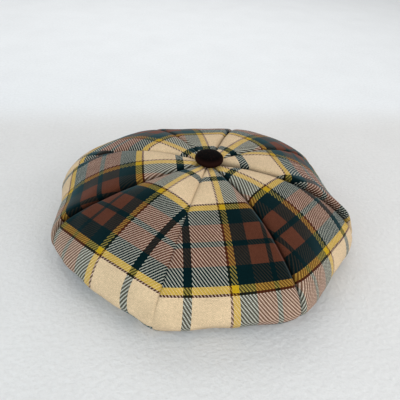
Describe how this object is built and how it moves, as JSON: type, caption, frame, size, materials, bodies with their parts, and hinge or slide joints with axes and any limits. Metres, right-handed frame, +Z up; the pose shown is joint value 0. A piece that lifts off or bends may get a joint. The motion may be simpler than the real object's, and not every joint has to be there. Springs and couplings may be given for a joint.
{
  "type": "tam o'shanter",
  "caption": "Soft tartan tam o'shanter with a wide puffed crown sewn from triangular gores, a covered button on top and a headband inside.",
  "frame": {"origin": "middle of the hat's footprint, on the surface that it rests on", "axes": "+Z up through the crown; -Y is the front gore's side; +X is to the right seen from the front"},
  "size_m": [0.2718, 0.2668, 0.0817],
  "materials": {
    "tartan_wool": "woollen twill woven in a tartan of cream, dark green, brown and yellow",
    "band_cloth": "plain dark cotton twill",
    "button_leather": "dark brown leather over a domed button"
  },
  "bodies": {
    "root": {"crown_gore_1": "tartan_wool", "crown_gore_2": "tartan_wool", "crown_gore_3": "tartan_wool", "crown_gore_4": "tartan_wool", "crown_gore_5": "tartan_wool", "crown_gore_6": "tartan_wool", "crown_gore_7": "tartan_wool", "crown_gore_8": "tartan_wool", "headband": "band_cloth", "top_button": "button_leather"}
  },
  "joints": []
}
